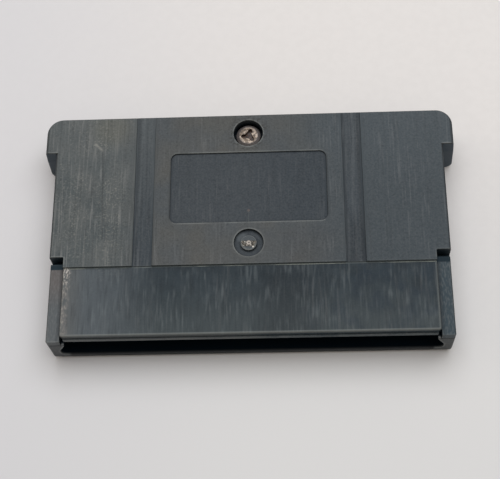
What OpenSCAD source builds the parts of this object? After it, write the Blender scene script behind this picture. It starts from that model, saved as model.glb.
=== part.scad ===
// Handheld game cartridge: two moulded shells, closed by one screw round a small circuit board.
// It lies on its front face. X runs across it, Y from the connector end to the grip, Z up to its back.

/* [Housing outline] */
// Width of the body at the seam between the shells
body_w = 57.3; // [56:0.1:59]
// Width over the grip, where it is widest
grip_w = 61.3; // [60.5:0.1:64]
// Height of the cartridge, from the connector end to the grip end
total_h = 35.45; // [34:0.05:40]
// Height of the wide grip
grip_h = 5.9; // [5:0.05:7]
// Thickness of the cartridge
total_t = 7.9; // [7.6:0.1:9]
// Height of the seam above the front face
seam_z = 5.4; // [5.2:0.1:5.6]
// Inward lean of the body's side walls on both sides of the seam, in degrees
body_lean = 0.5; // [0.5:0.5:2]
// Inward lean of the grip's walls from the seam to the back face, in degrees
grip_lean = 5; // [1:0.5:6]
// Outward lean of the grip's walls from the seam to the front face, in degrees
grip_flare = 3; // [0.5:0.5:4]
// Corner radius of the grip, seen from the back
grip_r = 2.6; // [2:0.1:3.5]
// Corner radius of the connector end, seen from the back
end_r = 0.4; // [0.3:0.1:1]
// Fillet round the front face
front_r = 1.3; // [0.8:0.1:1.9]
// Fillet between the front face and the connector end
nose_r = 0.7; // [0.3:0.1:1]
// Rounding round the back face
back_r = 0.4; // [0.2:0.1:0.8]
// Rounding of the small outer edges
edge_r = 0.2; // [0.1:0.05:0.4]

/* [Shell walls] */
// Thickness of the side walls
wall = 1.4; // [1.2:0.1:1.6]
// Thickness of the front shell's floor
floor_t = 1.4; // [1.2:0.1:1.6]
// Thickness of the back shell under its raised face
back_t = 1.5; // [1.2:0.1:1.7]
// Thickness of the back shell between the side rails
plate_t = 1.6; // [1.4:0.1:1.8]
// Gap round everything that slots together
fit = 0.1; // [0.05:0.01:0.2]
// Height of the tongue that enters the front shell
tongue_h = 0.9; // [0.5:0.1:1.2]
// Width of the rebate that the tongue enters
rebate_w = 0.7; // [0.5:0.05:0.8]
// Thickness of the ribs on the front shell's floor
rib_t = 1.2; // [0.8:0.1:1.4]
// Distance of the ribs from the connector end
rib_from_end = 3.8; // [3:0.1:5]

/* [Connector end] */
// Height of the part below the raised face's outer corners
notch_h = 12.5; // [11:0.1:14]
// Length of the notch above each side rail
notch_l = 0.8; // [0.6:0.1:1.2]
// Width of each side rail
rail_w = 2; // [1.9:0.05:2.5]
// Depth of the rails below the back face
rail_drop = 0.95; // [0.7:0.05:1.1]
// Inward lean of the rails' outer walls, in degrees
rail_lean = 4; // [0.5:0.5:6]
// Height of the sunken part of the back shell, above the connector end
step_h = 10.9; // [8:0.05:11.2]
// Depth of that part below the raised face
step_drop = 0.35; // [0.2:0.05:0.6]
// Set-back of the back shell from the connector end
back_gap = 0.63; // [0.4:0.01:1]
// Reach of the lip under the back shell's end
lip_l = 0.25; // [0.1:0.05:0.35]
// Thickness of that lip
lip_t = 0.6; // [0.4:0.05:0.9]
// Thickness of the front shell's lips inside the rails
inner_lip_t = 0.35; // [0.3:0.05:0.6]
// Height of the slope from these lips down to the side walls
mouth_slope_h = 2.2; // [1.6:0.1:2.2]
// Fillet along the inside of the mouth
mouth_r = 0.9; // [0.4:0.1:1.2]
// Distance of the hooks that hold the back shell, from the connector end
hook_from_end = 5.8; // [2:0.1:6]
// Reach of each hook into the front shell's wall
hook_reach = 0.9; // [0.7:0.05:1]
// Length of each hook
hook_l = 2; // [1:0.1:3]
// Thickness of each hook
hook_t = 0.6; // [0.4:0.05:0.7]

/* [Back face] */
// Width of each long shallow groove
groove_w = 2.85; // [1.5:0.05:5]
// Distance of each groove's middle from the centre line
groove_x = 15.25; // [14:0.05:20]
// Depth of the grooves and of the bare field
relief = 0.22; // [0.1:0.01:0.4]
// Width of the sunken bare field
field_w = 22.9; // [10:0.1:25]
// Height of that field
field_h = 11.3; // [5:0.1:12]
// Distance of the field's middle from the grip end
field_from_top = 12.2; // [11.5:0.05:13]
// Corner radius of the field
field_r = 1; // [0.3:0.1:2]
// Diameter of the round gate recess
gate_d = 4.3; // [3:0.1:5]
// Depth of the gate recess
gate_depth = 0.5; // [0.3:0.05:0.7]
// Distance of the gate's middle from the grip end
gate_from_top = 21.1; // [20.5:0.05:22]
// Diameter of the pad in the middle of the recess
pad_d = 2.3; // [1.5:0.1:2.8]
// Depth of the pad below the back face
pad_drop = 0.15; // [0.1:0.05:0.25]
// Diameter of the stub where the runner was broken off the pad
stub_d = 0.6; // [0.4:0.1:1]
// Depth of the stub's top below the back face
stub_drop = 0.05; // [0.05:0.01:0.1]

/* [Front face] */
// Width of the label's recess
label_w = 43.6; // [30:0.1:46]
// Height of the label's recess
label_h = 23.4; // [15:0.1:24]
// Distance of the label recess's middle from the connector end
label_from_end = 16.3; // [15.6:0.1:17]
// Depth of the front recesses
label_depth = 0.3; // [0.1:0.05:0.4]
// Corner radius of the label's recess
label_r = 1.2; // [0.4:0.1:3]
// Width of the bare oval above the label
oval_w = 38; // [20:0.5:44]
// Height of that oval
oval_h = 4.2; // [3:0.1:4.5]
// Distance of the oval's middle from the grip end
oval_from_top = 4.3; // [4.1:0.1:4.5]
// Radius of the insertion arrow
arrow_r = 1.2; // [0.6:0.1:1.4]
// Distance of the arrow's middle from the connector end
arrow_from_end = 2.2; // [2:0.1:2.6]

/* [Screw] */
// Distance of the screw from the grip end
screw_from_top = 3.35; // [3.25:0.05:3.6]
// Diameter of the hole that sinks the head
bore_d = 4.4; // [4.1:0.1:4.6]
// Depth of the head's top below the back face
head_drop = 0.75; // [0.4:0.05:1]
// Diameter of the head
head_d = 3.6; // [3:0.1:3.8]
// Height of the head
head_t = 1.2; // [0.8:0.1:1.4]
// Diameter of the head's flat top
flat_d = 2.8; // [2.6:0.1:3.2]
// Height of the slope round the flat top
slope_h = 0.3; // [0.1:0.05:0.4]
// Diameter of the shank
shank_d = 1.6; // [1.4:0.1:1.8]
// Length of the shank
shank_l = 3.8; // [3:0.1:4]
// Diameter of the hole that the shank passes through
pass_d = 2.3; // [2:0.1:2.5]
// Thickness of the plastic under the head
seat_t = 1.2; // [0.8:0.1:1.4]
// Diameter of the boss that takes the screw
boss_d = 5; // [4:0.1:5.2]
// Free depth in the boss under the screw's tip
pilot_gap = 0.3; // [0.1:0.1:0.6]
// Depth of the three-winged recess
drive_depth = 0.6; // [0.3:0.05:0.8]
// Reach of each wing
wing_l = 1.1; // [0.8:0.05:1.3]
// Width of each wing
wing_w = 0.65; // [0.3:0.05:0.7]

/* [Circuit board] */
// Thickness of the board
board_t = 0.8; // [0.6:0.1:1]
// Gap between the board's edges and the side walls
board_gap = 0.4; // [0.3:0.1:1]
// Set-back of the board's edge from the connector end
board_back = 2.4; // [1:0.1:3]
// Distance of the board's far edge from the grip end
board_from_top = 4.4; // [4.2:0.1:5]
// Height of the ribs that the board lies on
support_h = 1.3; // [1:0.1:1.5]
// Bevel of the board's edge that enters the console's socket
board_bevel = 0.2; // [0.1:0.05:0.3]
// Corner radius of the board
board_r = 0.8; // [0.3:0.1:2]
// Diameter of the two locating pins
pin_d = 2; // [1.6:0.1:2.2]
// Distance of each pin from the board's side edge
pin_from_side = 5.35; // [4.5:0.05:6]
// Distance of the pins from the grip end
pin_from_top = 8.6; // [8:0.1:9]
// Rise of the pins above the board
pin_rise = 0.9; // [0.5:0.1:1.5]
// Wall of the bosses and sleeves round the pins
sleeve_t = 0.9; // [0.7:0.1:1.2]
// Number of contact fingers
finger_n = 32; // [20:1:34]
// Spacing of the fingers
finger_pitch = 1.5; // [1.2:0.05:1.55]
// Width of each finger
finger_w = 1.1; // [0.6:0.05:1.15]
// Length of each finger
finger_l = 7.5; // [5:0.1:8]
// Thickness of the gold-plated copper
finger_t = 0.06; // [0.04:0.01:0.1]
// Set-back of the fingers from the board's edge
finger_back = 0.4; // [0.2:0.1:1]

/* [Chips and small components] */
// Length of the program chip
rom_l = 18.4; // [17.6:0.1:20]
// Width of the program chip
rom_w = 10.16; // [8:0.02:11]
// Height of the program chip
rom_t = 1; // [0.8:0.1:1.4]
// Distance of its middle from the centre line
rom_from_centre = 8.2; // [7:0.1:9]
// Leads on each long side of the program chip
rom_leads_n = 22; // [10:1:22]
// Spacing of its leads
rom_pitch = 0.8; // [0.6:0.05:0.8]
// Reach of its leads
rom_lead_l = 0.8; // [0.6:0.1:1.2]
// Width of its leads
rom_lead_w = 0.3; // [0.2:0.05:0.4]
// Length of the save chip
save_l = 4.9; // [4.9:0.1:6]
// Width of the save chip
save_w = 3.9; // [3.5:0.1:4.5]
// Height of the save chip
save_t = 1.4; // [1:0.1:1.6]
// Leads on each long side of the save chip
save_leads_n = 4; // [2:1:4]
// Spacing of its leads
save_pitch = 1.27; // [1:0.01:1.27]
// Reach of its leads
save_lead_l = 1.05; // [0.8:0.05:1.2]
// Width of its leads
save_lead_w = 0.4; // [0.3:0.05:0.5]
// Thickness of the leads
lead_t = 0.15; // [0.1:0.01:0.2]
// Gap under the chips
standoff = 0.1; // [0.05:0.01:0.2]
// Length of a capacitor or resistor
part_l = 1.6; // [1.2:0.1:2]
// Width of a capacitor or resistor
part_w = 0.8; // [0.6:0.1:1.2]
// Height of a capacitor
cap_t = 0.8; // [0.5:0.1:1.2]
// Height of a resistor
res_t = 0.45; // [0.3:0.05:0.6]
// Length of each metal end
end_l = 0.3; // [0.2:0.05:0.4]
// Free space between chips and small components
part_gap = 1.8; // [1.2:0.1:2]

/* [Hidden] */
$fn = 48;
// Overlap of cutting shapes past the faces that they cut
cut = 1;
// How far the grip's walls stand out beyond their place at the seam, to a hundredth
flare = round(100 * ((seam_z - front_r) * tan(grip_flare) + front_r * (1 - 1 / cos(grip_flare)))) / 100;
grip_x = grip_w / 2 - flare;
y_top = total_h / 2 - flare;
y_end = -total_h / 2;
y_grip = y_top - grip_h;
y_notch = y_end + notch_h;
y_rail = y_notch - notch_l;
y_step = y_end + step_h;
y_plate = y_end + back_gap;
y_screw = y_top - screw_from_top;
y_pins = y_top - pin_from_top;
y_posts = y_step + wall;
y_cheek = y_step - wall;
y_hook = y_end + hook_from_end;
y_ribs = y_end + rib_from_end;
// Half widths of the body, between the rails, of the plate, of the mouth and between the walls
body_x = body_w / 2;
rail_x = body_x - rail_w;
plate_x = rail_x - fit;
mouth_x = plate_x - inner_lip_t;
inner_x = body_x - wall;
// Levels from the front face up
board_z = floor_t + support_h;
board_top = board_z + board_t;
rail_z = total_t - rail_drop;
step_z = total_t - step_drop;
plate_z = step_z - plate_t;
roof_z = total_t - back_t;
head_z = total_t - head_drop;
seat_z = head_z - head_t;
boss_z = seat_z - seat_t;
hook_z = board_top + 4 * fit;
shank_z = seat_z - shank_l;
// Board outline
board_w = 2 * (inner_x - board_gap);
board_y0 = y_end + board_back;
board_y1 = y_top - board_from_top;
pin_x = board_w / 2 - pin_from_side;
// Places of the chips and small components on the board, side by side with the same free space between
rom_at = [-rom_from_centre, y_screw - boss_d / 2 - 2 * board_gap - rom_lead_l - rom_w / 2];
near_x = rom_at[0] + rom_l / 2 + part_gap + part_l / 2;
save_at = [near_x + part_l / 2 + part_gap + save_l / 2, rom_at[1]];
far_x = save_at[0] + save_l / 2 + part_gap + part_l / 2;
left_x = rom_at[0] - rom_l / 2 - part_gap - part_l / 2;
cap_at = concat([for (x = [near_x, far_x], side = [-1, 1]) [x, rom_at[1] + side * rom_w / 4]],
    [[left_x, (y_pins + y_posts) / 2]]);
res_y = save_at[1] - save_w / 2 - save_lead_l - part_gap / 2 - part_w / 2;
res_at = [for (i = [-1.5:1.5]) [save_at[0] + i * (part_l + part_gap / 2), res_y]];
CAPS = [for (i = [1:len(cap_at)]) str("capacitor_", i)];
RESISTORS = [for (i = [1:len(res_at)]) str("resistor_", i)];

shell_grey = "#54595c";
steel = "#a59e94";
board_green = "#1f5a3c";
gold = "#c9a24a";
tin = "#b9bcc0";
chip_black = "#1d1e20";
cap_tan = "#9a7b55";

// Plan and section shapes

// Rectangle centred on the Y axis from y0 to y1, with round corners
module round_rect(w, y0, y1, r) {
    translate([-w / 2 + r, y0]) square([w - 2 * r, y1 - y0]);
    translate([-w / 2, y0 + r]) square([w, y1 - y0 - 2 * r]);
    for (x = [-1, 1], y = [y0 + r, y1 - r]) translate([x * (w / 2 - r), y]) circle(r);
}

// Outline of the housing at the seam, moved in from its edge and kept above the level y0
module plan(inset, y0) {
    round_rect(body_w - 2 * inset, y0, y_top - inset, edge_r);
    round_rect(2 * (grip_x - inset), y_grip + inset, y_top - inset, max(grip_r - inset, edge_r));
}

// Section of an outer wall that stands on the seam: it leans in, or out if negative, and ends in a round edge
module wall_section(reach, h, lean, r) {
    centre = [reach - (h - r) * tan(lean) - r / cos(lean), h - r];
    far = 3 * r;
    difference() {
        polygon([[0, 0], [reach, 0], [reach - h * tan(lean), h], [0, h]]);
        translate(centre) difference() {
            polygon([[0, 0], far * [cos(lean), sin(lean)], [far, far], [0, far]]);
            circle(r);
        }
    }
}

// Block with that wall section on all four sides and round its corners
module soft_block(w, l, h, plan_r, lean, r) {
    core = [w - 2 * plan_r, l - 2 * plan_r];
    translate([-core[0] / 2, -core[1] / 2, 0]) cube([core[0], core[1], h]);
    for (turn = [0:90:270]) rotate([0, 0, turn]) {
        across = turn % 180 == 0 ? core[0] : core[1];
        along = turn % 180 == 0 ? core[1] : core[0];
        translate([across / 2, along / 2, 0]) {
            rotate([90, 0, 0]) linear_extrude(along) wall_section(plan_r, h, lean, r);
            rotate_extrude(angle = 90) wall_section(plan_r, h, lean, r);
        }
    }
}

// Body block of one shell, from the seam up: it ends inside the grip and reaches past the connector end
module body_block(h, lean, r) {
    y0 = y_end - grip_r - cut;
    y1 = y_top - grip_r;
    translate([0, (y0 + y1) / 2, 0]) soft_block(body_w, y1 - y0, h, grip_r, lean, r);
}

// Grip block of one shell, cut flat on the side that stops at the console
module grip_block(h, lean, r) {
    over = grip_r + cut;
    difference() {
        translate([0, y_top - (grip_h + over) / 2, 0])
            soft_block(2 * grip_x, grip_h + over, h, grip_r, lean, r);
        translate([-grip_w / 2 - cut, y_grip - over - cut, -cut])
            cube([grip_w + 2 * cut, over + cut, h + 2 * cut]);
    }
}

// What is cut off to give the connector end its straight edge and round corners
module end_cut(z1) {
    translate([-body_x - cut, y_end - grip_r - 2 * cut, -cut])
        cube([body_w + 2 * cut, grip_r + 2 * cut, z1 + 2 * cut]);
    for (side = [0, 1]) mirror([side, 0, 0])
        translate([body_x - end_r, y_end + end_r, -cut]) linear_extrude(z1 + 2 * cut)
            mirror([0, 1]) corner_waste(end_r);
}

// What is cut off to round the edge between the front face and the connector end
module nose_cut() {
    translate([-body_x - cut, y_end + nose_r, nose_r]) rotate([90, 0, 90])
        linear_extrude(body_w + 2 * cut) rotate(180) corner_waste(nose_r);
}

// Square corner less the quarter circle that stays
module corner_waste(r) {
    difference() {
        square(r + cut);
        circle(r);
    }
}

// Both halves of something that lies on each side of the centre line
module both_sides() {
    children();
    mirror([1, 0, 0]) children();
}

// Front shell

// Lips beside the mouth, which rise between the rails and under the plate
module inner_lips() {
    both_sides() translate([mouth_x - cut, y_end - cut, 0])
        cube([inner_lip_t + cut, y_cheek - fit - y_end + cut, plate_z - fit]);
}

// Room inside the mouth: narrow between the lips, wider and filleted below them
module mouth_section() {
    ledge_z = seam_z - fit;
    shelf_z = ledge_z - mouth_slope_h;
    polygon([
        [-mouth_x, total_t], [mouth_x, total_t], [mouth_x, ledge_z], [inner_x, shelf_z],
        [inner_x, floor_t + mouth_r], [inner_x - mouth_r, floor_t],
        [-inner_x + mouth_r, floor_t], [-inner_x, floor_t + mouth_r],
        [-inner_x, shelf_z], [-mouth_x, ledge_z]
    ]);
    for (side = [-1, 1]) translate([side * (inner_x - mouth_r), floor_t + mouth_r]) circle(mouth_r);
}

module front_cavity() {
    y_wide = y_notch + wall;
    translate([0, y_wide, 0]) rotate([90, 0, 0]) linear_extrude(y_wide - y_end + cut) mouth_section();
    translate([-rail_x, y_cheek - fit, seam_z - tongue_h - fit])
        cube([2 * rail_x, y_wide - y_cheek + fit, total_t]);
    translate([0, 0, floor_t]) linear_extrude(total_t) plan(wall, y_wide - cut);
    translate([0, 0, seam_z - tongue_h - fit]) linear_extrude(total_t) plan(wall - rebate_w, y_notch + fit);
}

module hook_pockets() {
    both_sides() translate([mouth_x - cut, y_hook - fit, hook_z - fit])
        cube([cut + hook_reach, hook_l + 2 * fit, hook_t + 2 * fit]);
}

module front_recesses() {
    label_y = y_end + label_from_end;
    oval_y = y_top - oval_from_top;
    translate([0, 0, -cut]) linear_extrude(label_depth + cut) {
        round_rect(label_w, label_y - label_h / 2, label_y + label_h / 2, label_r);
        translate([-(oval_w - oval_h) / 2, oval_y - oval_h / 2]) square([oval_w - oval_h, oval_h]);
        for (side = [-1, 1]) translate([side * (oval_w - oval_h) / 2, oval_y]) circle(oval_h / 2);
    }
    translate([0, y_end + arrow_from_end, -cut]) rotate([0, 0, -90])
        cylinder(h = label_depth + cut, r = arrow_r, $fn = 3);
}

// Ribs that carry the board, and the ribs that stiffen the boss
module front_ribs() {
    rib_x = pin_x + pin_d;
    rib_h = support_h + cut;
    translate([0, 0, floor_t - cut]) {
        both_sides() translate([rib_x, y_ribs, 0]) cube([rib_t, board_y1 - rib_t - y_ribs, rib_h]);
        translate([-rib_x, y_rail, 0]) cube([2 * rib_x, rib_t, rib_h]);
        translate([-boss_d, y_screw - rib_t / 2, 0]) cube([2 * boss_d, rib_t, rib_h]);
    }
}

module front_posts() {
    both_sides() translate([pin_x, y_pins, floor_t - cut]) {
        cylinder(h = support_h + cut, d = pin_d + 2 * sleeve_t);
        cylinder(h = board_t + pin_rise + support_h + cut, d = pin_d);
    }
    intersection() {
        translate([0, y_screw, floor_t - cut]) cylinder(h = boss_z - floor_t + cut, d = boss_d);
        linear_extrude(total_t) plan(wall - rebate_w - fit, y_notch);
    }
}

module front_shell() {
    color(shell_grey) difference() {
        union() {
            difference() {
                union() {
                    translate([0, 0, seam_z]) mirror([0, 0, 1]) {
                        body_block(seam_z, body_lean, front_r);
                        grip_block(seam_z, -grip_flare, front_r);
                    }
                    inner_lips();
                }
                end_cut(total_t);
                nose_cut();
                front_cavity();
                front_recesses();
                hook_pockets();
            }
            front_ribs();
            front_posts();
        }
        translate([0, 0, seam_z - tongue_h - fit]) linear_extrude(total_t) difference() {
            plan(wall - rebate_w, y_notch + fit);
            plan(wall, y_notch + fit);
        }
        translate([0, y_screw, shank_z - pilot_gap]) cylinder(h = total_t, d = shank_d);
    }
}

// Back shell

// Raised face with its skirt, from the notch to the grip end
module raised_face() {
    h = total_t - seam_z;
    difference() {
        translate([0, 0, seam_z]) {
            body_block(h, body_lean, back_r);
            grip_block(h, grip_lean, back_r);
        }
        translate([-body_x - cut, y_end - grip_r - 2 * cut, 0])
            cube([body_w + 2 * cut, step_h + grip_r + 2 * cut, total_t + cut]);
        both_sides() translate([plate_x + rail_w, y_step - cut, 0]) linear_extrude(total_t + cut)
            round_rect(2 * rail_w, -cut, y_notch - y_step + cut, edge_r);
    }
}

module back_cavity() {
    skirt_x = plate_x - wall;
    translate([0, 0, seam_z - cut]) linear_extrude(roof_z - seam_z + cut) {
        plan(wall, y_notch + wall);
        translate([-skirt_x, y_step - cut]) square([2 * skirt_x, y_notch + 2 * wall - y_step + cut]);
    }
}

// Thinner plate that closes the mouth, with the lip along its end
module end_plate() {
    plate_l = y_posts - y_plate;
    translate([0, y_plate + plate_l / 2, plate_z])
        soft_block(2 * plate_x, plate_l, plate_t, 2 * edge_r, 0, edge_r);
    translate([-mouth_x, y_plate - lip_l, plate_z]) cube([2 * mouth_x, lip_l + wall, lip_t]);
}

// Rails on both sides of the plate: they stand over the front shell's walls, a parting gap above them
module side_rails() {
    difference() {
        intersection() {
            translate([0, 0, seam_z]) body_block(rail_z - seam_z, rail_lean, edge_r);
            both_sides() {
                translate([rail_x, y_end - cut, seam_z + fit])
                    cube([rail_w + cut, y_rail - y_end + cut, total_t]);
                translate([plate_x - wall, y_plate + edge_r, plate_z])
                    cube([wall + rail_w, y_rail - y_plate - edge_r, total_t]);
            }
        }
        end_cut(total_t);
    }
}

// Hooks under the plate that snap into the front shell's walls
module hooks() {
    leg_x = mouth_x - fit;
    both_sides() translate([0, y_hook, 0]) {
        translate([leg_x - hook_t, 0, hook_z]) cube([hook_t, hook_l, plate_z - hook_z + edge_r]);
        translate([leg_x - hook_t, 0, hook_z]) cube([hook_t + hook_reach, hook_l, hook_t]);
    }
}

// Cheeks that close the gap beside the notches
module notch_cheeks() {
    both_sides() translate([plate_x - wall, y_cheek, seam_z - tongue_h])
        cube([wall, y_notch + wall - y_cheek, roof_z - seam_z + tongue_h + edge_r]);
}

module tongue() {
    translate([0, 0, seam_z - tongue_h]) linear_extrude(tongue_h + wall) difference() {
        plan(wall - rebate_w + fit, y_notch + 2 * fit);
        plan(wall, y_notch - cut);
    }
}

module back_posts() {
    post_z = board_top + fit;
    both_sides() {
        translate([pin_x, y_pins, post_z])
            cylinder(h = roof_z - post_z + edge_r, d = pin_d + 2 * (fit + sleeve_t));
        translate([pin_x, y_posts, post_z]) cylinder(h = roof_z - post_z + edge_r, d = pin_d + sleeve_t);
    }
    intersection() {
        translate([0, y_screw, boss_z]) cylinder(h = head_z - boss_z, d = bore_d + 2 * sleeve_t);
        linear_extrude(total_t) plan(wall + fit, y_notch);
    }
}

module back_relief() {
    field_y = y_top - field_from_top;
    translate([0, 0, total_t - relief]) linear_extrude(relief + cut) {
        both_sides() translate([groove_x - groove_w / 2, y_step - cut])
            square([groove_w, y_top - y_step + 2 * cut]);
        round_rect(field_w, field_y - field_h / 2, field_y + field_h / 2, field_r);
    }
}

// Round gate recess with a raised pad, and on it the stub where the runner was broken off
module gate_recess() {
    translate([0, y_top - gate_from_top, total_t - gate_depth]) difference() {
        cylinder(h = gate_depth + cut, d = gate_d);
        cylinder(h = gate_depth - pad_drop, d = pad_d);
        cylinder(h = gate_depth - stub_drop, d = stub_d);
    }
}

module back_shell() {
    color(shell_grey) difference() {
        union() {
            difference() {
                raised_face();
                back_cavity();
            }
            end_plate();
            side_rails();
            hooks();
            notch_cheeks();
            tongue();
            back_posts();
        }
        back_relief();
        gate_recess();
        translate([0, y_screw, seat_z]) cylinder(h = total_t, d = bore_d);
        translate([0, y_screw, 0]) cylinder(h = total_t, d = pass_d);
        both_sides() translate([pin_x, y_pins, 0])
            cylinder(h = board_top + pin_rise + 3 * fit, d = pin_d + 2 * fit);
    }
}

// Screw

module drive_recess() {
    translate([0, 0, -drive_depth]) linear_extrude(drive_depth + cut) {
        circle(wing_w * 0.8);
        for (turn = [60:120:300]) rotate(turn) translate([0, wing_w / 5]) {
            translate([0, -wing_w / 2]) square([wing_l - wing_w / 2, wing_w]);
            translate([wing_l - wing_w / 2, 0]) circle(wing_w / 2);
        }
    }
}

// Half section of the head: straight side, slope and flat top
module head_section() {
    polygon([
        [0, 0], [head_d / 2, 0], [head_d / 2, head_t - slope_h], [flat_d / 2, head_t], [0, head_t]
    ]);
}

module shell_screw() {
    tip_l = shank_d / 4;
    shank_fit_d = shank_d - fit / 2;
    color(steel) translate([0, y_screw, 0]) {
        difference() {
            translate([0, 0, seat_z]) rotate_extrude() head_section();
            translate([0, 0, head_z]) drive_recess();
        }
        translate([0, 0, shank_z + tip_l]) cylinder(h = shank_l - tip_l, d = shank_fit_d);
        translate([0, 0, shank_z]) cylinder(h = tip_l, d1 = shank_d / 2, d2 = shank_fit_d);
    }
}

// Circuit board

// Section along the board's length, bevelled at the end that enters the console's socket
module board_section() {
    bevel_y = board_y0 + board_bevel;
    polygon([
        [board_y0, board_bevel], [bevel_y, 0], [board_y1, 0],
        [board_y1, board_t], [bevel_y, board_t], [board_y0, board_t - board_bevel]
    ]);
}

module circuit_board() {
    color(board_green) translate([0, 0, board_z]) intersection() {
        linear_extrude(board_t) difference() {
            round_rect(board_w, board_y0, board_y1, board_r);
            translate([0, y_screw]) circle(d = boss_d + 2 * board_gap);
            both_sides() translate([pin_x, y_pins]) circle(d = pin_d + 2 * fit);
        }
        translate([-board_w / 2, 0, 0]) rotate([90, 0, 90]) linear_extrude(board_w) board_section();
    }
}

module contact_fingers() {
    span = (finger_n - 1) * finger_pitch;
    color(gold) for (i = [0:finger_n - 1])
        translate([i * finger_pitch - span / 2 - finger_w / 2, board_y0 + finger_back, board_top])
            cube([finger_w, finger_l, finger_t]);
}

// Chips

// Moulded chip body, drafted above and below its leads, with a dimple at its first lead
module chip_body(l, w, t) {
    slope = t / 12;
    dimple_d = w / 8;
    dimple_in = 1.5 * dimple_d;
    translate([0, 0, board_top + standoff]) difference() {
        intersection() {
            rotate([90, 0, 0]) translate([0, 0, -w / 2]) linear_extrude(w) chip_section(l, t, slope);
            rotate([90, 0, 90]) translate([0, 0, -l / 2]) linear_extrude(l) chip_section(w, t, slope);
        }
        translate([dimple_in - l / 2, dimple_in - w / 2, t - slope]) cylinder(h = t, d = dimple_d);
    }
}

module chip_section(l, t, slope) {
    polygon([
        [-l / 2 + slope, 0], [l / 2 - slope, 0], [l / 2, t / 2], [l / 2 - slope, t],
        [-l / 2 + slope, t], [-l / 2, t / 2]
    ]);
}

// One bent lead: out of the chip's waist, down, and along the board
module gull_lead(rise, reach, lead_w) {
    foot = reach / 2;
    shoulder = reach / 4;
    rotate([90, 0, 90]) translate([0, 0, -lead_w / 2]) linear_extrude(lead_w) polygon([
        [0, rise], [shoulder, rise], [reach - foot, lead_t], [reach, lead_t],
        [reach, 0], [reach - foot - lead_t, 0], [shoulder - lead_t, rise - lead_t], [0, rise - lead_t]
    ]);
}

// Leads along both long sides of a chip
module lead_rows(w, t, n, pitch, reach, lead_w) {
    rise = standoff + t / 2;
    translate([0, 0, board_top]) for (side = [0, 180]) rotate([0, 0, side])
        for (i = [0:n - 1]) translate([(i - (n - 1) / 2) * pitch, w / 2, 0]) gull_lead(rise, reach, lead_w);
}

module rom_chip() {
    color(chip_black) translate(rom_at) chip_body(rom_l, rom_w, rom_t);
}

module rom_leads() {
    color(tin) translate(rom_at) lead_rows(rom_w, rom_t, rom_leads_n, rom_pitch, rom_lead_l, rom_lead_w);
}

module save_chip() {
    color(chip_black) translate(save_at) chip_body(save_l, save_w, save_t);
}

module save_chip_leads() {
    color(tin) translate(save_at)
        lead_rows(save_w, save_t, save_leads_n, save_pitch, save_lead_l, save_lead_w);
}

// Capacitors and resistors

module small_part(at, t) {
    translate([at[0] - part_l / 2 + end_l, at[1] - part_w / 2, board_top])
        cube([part_l - 2 * end_l, part_w, t]);
}

// Metal caps on both ends of each small component
module metal_ends(places, t) {
    for (at = places) translate([at[0], at[1], board_top]) both_sides()
        translate([part_l / 2 - end_l, 0, 0]) linear_extrude(t)
            translate([end_l / 2, 0]) round_rect(end_l, -part_w / 2, part_w / 2, end_l / 6);
}

module capacitor(i) {
    color(cap_tan) small_part(cap_at[i], cap_t);
}

module resistor(i) {
    color(chip_black) small_part(res_at[i], res_t);
}

module capacitor_ends() {
    color(tin) metal_ends(cap_at, cap_t);
}

module resistor_ends() {
    color(tin) metal_ends(res_at, res_t);
}

front_shell();
back_shell();
shell_screw();
circuit_board();
contact_fingers();
rom_chip();
rom_leads();
save_chip();
save_chip_leads();
capacitor_ends();
resistor_ends();
for (i = [0:len(CAPS) - 1]) capacitor(i);
for (i = [0:len(RESISTORS) - 1]) resistor(i);
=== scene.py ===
"""Finishes, gate scar, screw thread, floor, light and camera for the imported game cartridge.

It lies on its front face, back up, with its open connector end toward the camera.
X grows to the camera's right, and Y from the connector end to the grip.
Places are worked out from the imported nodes, in millimetres, and turned to metres where Blender wants them.
"""

import math
from types import SimpleNamespace

import bmesh
import bpy
from mathutils import Matrix, Vector, noise


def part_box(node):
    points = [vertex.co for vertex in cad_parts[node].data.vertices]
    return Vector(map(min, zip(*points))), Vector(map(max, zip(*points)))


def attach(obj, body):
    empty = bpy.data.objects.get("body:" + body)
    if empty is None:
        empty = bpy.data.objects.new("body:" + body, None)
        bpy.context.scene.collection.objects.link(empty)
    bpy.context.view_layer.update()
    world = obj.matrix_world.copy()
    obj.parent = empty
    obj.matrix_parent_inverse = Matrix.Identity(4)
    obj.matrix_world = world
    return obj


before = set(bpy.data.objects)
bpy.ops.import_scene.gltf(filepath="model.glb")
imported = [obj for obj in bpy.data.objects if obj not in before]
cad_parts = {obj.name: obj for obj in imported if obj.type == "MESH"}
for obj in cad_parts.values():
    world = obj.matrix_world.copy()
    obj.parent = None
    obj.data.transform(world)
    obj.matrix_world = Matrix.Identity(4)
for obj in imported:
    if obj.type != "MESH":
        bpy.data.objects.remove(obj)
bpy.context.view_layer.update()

MM = 0.001


def box_mm(node):
    """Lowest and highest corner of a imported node, in millimetres."""
    low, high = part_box(node)
    return low / MM, high / MM


FRONT_LOW, FRONT_HIGH = box_mm("front_shell")
SCREW_LOW, SCREW_HIGH = box_mm("shell_screw")
BACK_HIGH = box_mm("back_shell")[1]
BOARD_TOP = box_mm("circuit_board")[1].z
BACK_FACE = BACK_HIGH.z
GRIP_END = BACK_HIGH.y
CONNECTOR_END = FRONT_LOW.y
SCREW_Y = (SCREW_LOW.y + SCREW_HIGH.y) / 2

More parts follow.
